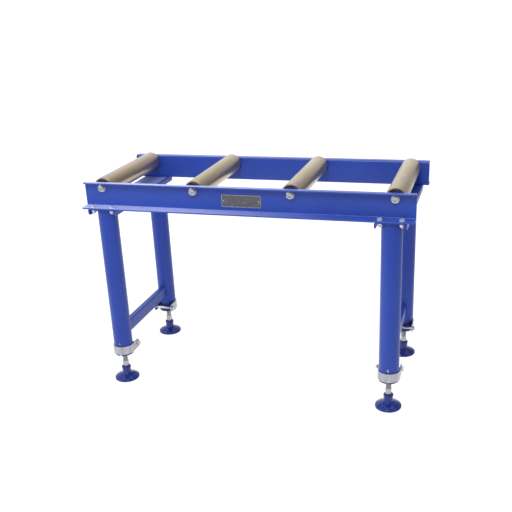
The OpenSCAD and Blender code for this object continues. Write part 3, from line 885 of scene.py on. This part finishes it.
# %% Rail bolts, washers and nuts
frame_bolt = 0.004
frame_flats = 0.013
frame_pitch = 0.00125
frame_head = 0.00528
frame_nut = 0.00648
frame_washer = 0.008
frame_washer_t = 0.0016
rail_thread = 0.012
rail_bolt_y = 0.212
rail_bolt_x = 0.0305
bolt_low, bolt_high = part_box("rail_bolts")
bolt_seat = bolt_high.z - frame_head
nut_seat = leg_top - frame_washer_t
corners = [(side * leg_x, depth * rail_bolt_y) for side in (-1, 1) for depth in (-1, 1)]
spots = [(x + offset, y) for x, y in corners for offset in (-rail_bolt_x, rail_bolt_x)]
levels = (bolt_seat - frame_washer_t, nut_seat)
heads = [((x, y, bolt_seat), upwards) for x, y in spots]
washers = [((x, y, z), upwards) for x, y in spots for z in levels]
nuts = [((x, y, nut_seat - frame_nut), upwards) for x, y in spots]
shank = bolt_seat - bolt_low.z
rings = bolt_rings(frame_bolt, frame_flats, frame_head, shank, rail_thread, frame_pitch)
small_washer = washer_rings(frame_bolt, frame_washer, frame_washer_t)
small_nut = nut_rings(frame_bolt, frame_flats, frame_nut)
fasten("rail_hex_bolts", "rail_bolts", rings, heads, rail_bolt_zinc, 11)
fasten("rail_plain_washers", "rail_washers", small_washer, washers, rail_bolt_zinc, 12, closed=True)
fasten("rail_hex_nuts", "rail_nuts", small_nut, nuts, rail_bolt_zinc, 13, closed=True)

# %% [markdown]
# ## The strap clamps
#
# A strap of flat zinc goes round each tube, over the slot, and a long bolt pulls its two tails together.
# It is the folded plate again, with one wide half circle in place of two tight bends. The bolt heads all
# look the same way, so one spanner reaches both sides of the stand in turn.

# %% Clamp straps
strap_t = 0.003
strap_gap = 0.00005
strap_ease = 0.0004
tail_corner = 0.0084
strap_half = (strap_high.z - strap_low.z) / 2
strap_z = (strap_high.z + strap_low.z) / 2
strap_radius = leg_radius + strap_gap
tail = strap_high.y + leg_y
r = strap_radius
outline = [(r, tail), (r, -r), (-r, -r), (-r, tail)]
blank, faces = folded_plate(outline, r, strap_t, strap_half, tail_corner, 20)
for leg, (side, depth) in legs.items():
    vertices = [(side * leg_x + x, depth * (leg_y - y), strap_z + z) for z, x, y in blank]
    strap = new_piece(f"strap_{leg}", vertices, faces, strap_zinc)
    fit(ease_edges(strap, strap_ease), "frame", "bright_zinc", f"clamp_strap_{leg}")

# %% Clamp bolts and nuts
clamp_reach = 0.038
clamp_end = 0.004
clamp_thread = 0.022
clamp_seat = strap_radius + strap_t
clamp_shank = 2 * clamp_seat + 2 * frame_washer_t + frame_nut + clamp_end
head_seat = clamp_seat + frame_washer_t
ways = ((clamp_seat, to_right), (-clamp_seat, to_left))
spots = [(side * leg_x, depth * (leg_y - clamp_reach)) for side, depth in legs.values()]
heads = [((x + head_seat, y, strap_z), to_right) for x, y in spots]
washers = [((x + reach, y, strap_z), way) for x, y in spots for reach, way in ways]
nuts = [((x - head_seat, y, strap_z), to_left) for x, y in spots]
rings = bolt_rings(frame_bolt, frame_flats, frame_head, clamp_shank, clamp_thread, frame_pitch)
fasten("clamp_hex_bolts", "clamp_bolts", rings, heads, bolt_zinc, 21)
nut_piece = set_out("clamp_hex_nuts", small_nut, nuts, bolt_zinc, 22, closed=True)
washer_piece = set_out("clamp_washers", small_washer, washers, bolt_zinc, 23, closed=True)
fit(joined("clamp_nuts_and_washers", [nut_piece, washer_piece]), "frame", "bright_zinc", "clamp_nuts")

# %% [markdown]
# ## Telescopic tubes and feet
#
# The inner tube is plain drawn tube. The spindle is one turned bar: a ball for the pad, a neck, a hexagon
# for the spanner and a long coarse thread. The pad is a crowned disc with a hollow sweep up to a lipped
# neck. All are swung round the leg's axis, and each rides on its own body, because each moves alone.

# %% Inner tubes
inner_wall = 0.003


def upright(node):
    """The corners of a node's box and the foot of its upright axis."""
    low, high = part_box(node)
    return low, high, ((low.x + high.x) / 2, (low.y + high.y) / 2, 0)


for leg in legs:
    low, high, place = upright(f"inner_tube_{leg}")
    radius = (high.x - low.x) / 2
    bore = radius - inner_wall
    rings = [(bore, low.z), (radius, low.z), (radius, high.z), (bore, high.z)]
    tube = turned(f"inner_leg_{leg}", rings, tube_zinc, place, closed=True)
    fit(ease_edges(tube, 0.0005), f"inner_leg_{leg}", "bright_zinc", f"inner_tube_{leg}")

# %% Threaded spindles
spindle_radius = 0.008
spindle_pitch = 0.002
spindle_flats = 0.017
spindle_neck = 0.0055
ball_radius = 0.0085
ball_top = math.radians(42)
hex_low = 0.043
hex_high = 0.064
face = spindle_flats * face_share
root = spindle_radius - 0.0011
for leg in legs:
    low, high, place = upright(f"spindle_{leg}")
    ball_z = low.z + ball_radius
    rings = [(0, low.z)] + arc(0, ball_z, ball_radius, -math.pi / 2, ball_top, 11)[1:]
    rings += [(spindle_neck, ball_z + 0.0068), (spindle_neck, hex_low), (face, hex_low)]
    rings.append(hex_ring(spindle_flats, hex_low, -chamfer_slope))
    rings.append(hex_ring(spindle_flats, hex_high, chamfer_slope))
    rings += [(face, hex_high), (root, hex_high), (root, hex_high + 0.002)]
    rings += thread_rings(hex_high + 0.0022, high.z - 0.0012, spindle_radius, spindle_pitch)
    rings += [(spindle_radius - 0.0018, high.z), (0, high.z)]
    spindle = turned(f"screw_{leg}", rings, spindle_zinc, place, segments=60)
    fit(crease(spindle, 28), f"foot_screw_{leg}", "bright_zinc", f"spindle_{leg}")

# %% Foot pads
pad_rim = 0.009
pad_edge = 0.005
pad_foot = 0.002
pad_crown = 0.020
pad_hollow = 0.0012
neck_radius = 0.0140
neck_sweep = 0.0050
lip_radius = 0.015
lip_round = 0.0028
lip_height = 0.0062
mouth_radius = 0.0104
mouth_depth = 0.0016
throat_radius = 0.0061
flare = lip_radius - neck_radius
quarter = math.pi / 2
for leg in legs:
    low, high, place = upright(f"foot_pad_{leg}")
    radius = (high.x - low.x) / 2
    top = high.z
    run = radius - pad_edge
    rise = pad_crown - pad_rim
    crown = (run * run + rise * rise) / (2 * rise)
    crown_z = pad_crown - crown
    sweep_x = neck_radius + neck_sweep
    sweep_z = crown_z + math.sqrt((crown + neck_sweep) ** 2 - sweep_x**2)
    meet = sweep_x * crown / (crown + neck_sweep)
    start = math.atan2(math.sqrt(crown**2 - meet**2) + crown_z - sweep_z, meet - sweep_x)
    rings = [(0, pad_hollow), (radius * 0.62, pad_hollow), (radius * 0.65, 0)]
    rings += arc(radius - pad_foot, pad_foot, pad_foot, -quarter, 0, 4)
    rings += arc(run, pad_rim - pad_edge, pad_edge, 0, quarter, 6)
    for k in range(1, 9):
        r = run + (meet - run) * k / 8
        rings.append((r, crown_z + math.sqrt(crown**2 - r * r)))
    rings += arc(sweep_x, sweep_z, neck_sweep, start, -math.pi, 8)[1:]
    rings += arc(lip_radius, top - lip_height - flare, flare, math.pi, quarter, 4)
    rings += arc(lip_radius - lip_round, top - lip_round, lip_round, 0, quarter, 6)
    rings += [(mouth_radius, top), (mouth_radius, top - mouth_depth), (throat_radius, top - mouth_depth)]
    rings += [(throat_radius, top - 0.0075), (ball_radius + 0.0003, top - 0.014)]
    rings += [(throat_radius, top - 0.02), (0, top - 0.0228)]
    pad = turned(f"pad_{leg}", rings, foot_enamel, place)
    fit(crease(pad, 40), f"foot_{leg}", "foot_enamel", f"foot_pad_{leg}")

# %% [markdown]
# ## The rollers
#
# A roller is a tube with a hub pressed into each end and a sealed ball bearing in the hub. The tube's
# ends are rolled over a little, which keeps the hubs in. Only that lip, the hub's dark face and the
# bearing's seal are seen beside the rail. The pieces are separate, as on the bench.

# %% Rollers
roller_wall = 0.0025
roller_edge = 0.0012
roller_lip = 0.0045
roller_lip_t = 0.0022
hub_recess = 0.004
hub_width = 0.018
hub_bore = 0.0185
press_gap = 0.00005
bearing_radius = 0.021
bearing_width = 0.012
bearing_sunk = 0.002
seal_radius = 0.0187
inner_ring = 0.01401
ring_ease = 0.0004
low, high = boxes[0]
half = high.y
radius = (high.z - low.z) / 2
bore = radius - roller_wall
lip = radius - roller_lip
lip_back = half - roller_lip_t
face = half - hub_recess
back = face - hub_width
front = face - bearing_sunk
seat = front - bearing_width
shell = [
    (lip, -half, 0), (radius, -half, roller_edge), (radius, half, roller_edge), (lip, half, 0),
    (lip, lip_back, 0), (bore, lip_back, 0), (bore, -lip_back, 0), (lip, -lip_back, 0),
]
rim = bore - press_gap
cup = bearing_radius + press_gap
sunk = face - 0.0008
hub = [
    (rim, back), (rim, sunk), (bore - 0.0009, face), (bore - 0.0022, face), (bore - 0.0026, sunk),
    (cup + 0.0016, sunk), (cup + 0.0012, face), (cup + 0.0005, face), (cup, face - 0.0006),
    (cup, seat), (hub_bore, seat), (hub_bore, back),
]
eased_radius = bearing_radius - ring_ease
ring = [
    (seal_radius, seat), (eased_radius, seat), (bearing_radius, seat + ring_ease),
    (bearing_radius, front - ring_ease), (eased_radius, front), (seal_radius, front),
]
seal = [
    (inner_ring, seat + 0.0004), (seal_radius, seat + 0.0004), (seal_radius, front - 0.0003),
    (0.0181, front - 0.0003), (0.0178, front - 0.0007), (0.0160, front - 0.0007),
    (0.0157, front - 0.0004), (inner_ring, front - 0.0004),
]
inside = {
    "end_hubs": (hub, hub_black, "dark_hub", ["roller_hubs"]),
    "bearing_rings": (ring, bearing_steel, "bearing_steel", ["roller_bearings"]),
    "bearing_seals": (seal, seal_rubber, "dark_hub", []),
}
for number, x in enumerate(roller_x, 1):
    body = f"roller_{number}"
    place = (x, 0, axle_height)
    rings = eased(shell, 6)
    tube = turned(f"roller_shell_{number}", rings, roller_film, place, "Y", closed=True, segments=128)
    fit(crease(tube, 40), body, "yellow_passivate", f"roller_tube_{number}")
    for label, (profile, finish, slot, nodes) in inside.items():
        ends = [[(r, sign * h) for r, h in profile] for sign in (-1, 1)]
        pair = [turned(label, rings, finish, place, "Y", closed=True) for rings in ends]
        piece = crease(joined(f"{label}_{number}", pair), 30)
        fit(piece, body, slot, *[f"{node}_{number}" for node in nodes])

# %% Finishes of the solids that stay
steel_nodes = ("roller_axle", "bearing_inner")
for name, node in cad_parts.items():
    if node.hide_render:
        continue
    finish = bearing_steel if name.startswith(steel_nodes) else tube_zinc
    node.data.materials.clear()
    node.data.materials.append(finish)
    print(name, "keeps its solid and takes", finish.name)

# %% [markdown]
# ## The plate on the front rail
#
# A stand like this has a rating plate riveted to its front rail. This one is plain: metal with a raised
# rim, a dark enamelled field and two rivets, and nothing is written on it. The field is its own thin
# piece, because enamel fills the recess up to just below the rim.

# %% Blank plate
plate_half = 0.060
plate_rise = 0.0185
plate_t = 0.0009
plate_corner = 0.004
plate_inset = 0.0016
field_inset = 0.0022
plate_z = 0.6255
rivet_x = 0.053


def plate_piece(name, levels, finish):
    """A solid through levels, each an inset from the plate's outline, a radius and a height."""
    vertices = []
    for inset, radius, height in levels:
        rise = plate_rise - inset
        outline = rounded_box(plate_half - inset, -rise, rise, radius, 8)
        vertices += [(x, -outer_face - height, plate_z + z) for x, z in outline]
    return new_piece(name, *stacked(vertices, len(outline)), finish)


inner_corner = plate_corner - plate_inset
levels = [(0, plate_corner, 0), (0, plate_corner, plate_t)]
levels += [(plate_inset, inner_corner, plate_t * share) for share in (1, 0.55)]
blank_plate = plate_piece("blank_plate", levels, strap_zinc)
fit(ease_edges(blank_plate, 0.0002), "frame", "bright_zinc")
plate_enamel = dark_piece("plate_enamel", 0.105, 0.34, 0.00001)
levels = [(field_inset, inner_corner, plate_t * share) for share in (0.5, 0.8)]
plate_field = plate_piece("plate_field", levels, plate_enamel)
fit(ease_edges(plate_field, 0.0001), "frame", "dark_hub")
rings = [(0, 0), (0.0026, 0), (0.0025, 0.0007), (0.0018, 0.0012), (0.0009, 0.0014), (0, 0.00145)]
spots = [((sign * rivet_x, -outer_face - plate_t * 0.55, plate_z), to_front) for sign in (-1, 1)]
fit(set_out("plate_rivets", rings, spots, bolt_zinc, 31, ease=0), "frame", "bright_zinc")

# %% [markdown]
# ## Studio
#
# The stand is shown on white, clear of any wall. The floor lies just below the lowest place that a foot
# reaches, because no foot may run through it when the legs are drawn out. Polished metal shows only what
# is round it, so a studio that is white on every side leaves it flat. Here the floor glows a little
# behind and under the stand, as a light table does. The world is bright on the left, dark on the right
# and bright overhead, and soft lights stand at the left, high in front and at the right.

# %% Floor
leg_travel = 0.300
foot_travel = 0.032
floor_gap = 0.008
far = 150.0
floor_z = -(leg_travel + foot_travel + floor_gap)


corners = [(-far, -far, floor_z), (far, -far, floor_z), (far, far, floor_z), (-far, far, floor_z)]
mesh = bpy.data.meshes.new("studio_floor")
mesh.from_pydata(corners, [], [(0, 1, 2, 3)])
finish = Finish("studio_floor", {"Roughness": 0.9, "Specular IOR Level": 0.1, "Emission Strength": 1.0})
white = finish.blend(finish.noise(0.8), colour(0.69, 0.69, 0.695), colour(0.71, 0.71, 0.715))
finish.set("Base Color", white)
under = finish.window(finish.along("Y"), -1.7, -0.8)
behind = finish.window(finish.along("Y"), 0.5, 2.5)
right = finish.window(finish.along("X"), 2.4, 1.0) * 0.85 + 0.15
share = (under * 0.65 + behind * 0.35) * right
finish.set("Emission Color", finish.blend(share, colour(0, 0, 0), colour(0.58, 0.58, 0.575)))
mesh.materials.append(finish.material)
shown("studio_floor", mesh)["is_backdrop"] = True
print("floor at", floor_z)

# %% World and lights
world = bpy.data.worlds.new("studio")
world.use_nodes = True
scene.world = world
graph = Graph(world.node_tree)
way = graph.node("ShaderNodeTexCoord", output="Generated")
cap = graph.window(graph.part(way, "Z"), 0.80, 0.96)
left = graph.window(graph.part(way, "X"), 0.75, -0.30)
depth = graph.part(way, "Y")
back = world.node_tree.nodes["Background"]
back.inputs["Color"].default_value = colour(0.98, 0.99, 1.0)
graph.feed(back.inputs["Strength"], 0.20 + left * (0.62 + 0.38 * depth) + 0.8 * cap)


def soft_light(name, place, aim, size, power):
    data = bpy.data.lights.new(name, "AREA")
    data.shape = "RECTANGLE"
    data.size, data.size_y = size
    data.energy = power
    light = shown(name, data)
    light.location = place
    light.rotation_euler = (Vector(aim) - Vector(place)).to_track_quat("-Z", "Y").to_euler()
    print(name, power, "W")


soft_light("left_front", (-2.6, -2.0, 1.9), (0, 0, 0.5), (2.4, 2.2), 30)
soft_light("front_high", (0.15, -2.2, 2.9), (0, 0, 0.5), (1.2, 1.2), 50)
soft_light("right_side", (2.8, -0.6, 1.5), (0, 0, 0.4), (0.6, 1.8), 10)
scene.view_settings.view_transform = "Standard"

# %% Sizes and the end
low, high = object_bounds()
print("dressed model, metres:", [round(b - a, 4) for a, b in zip(low, high)])
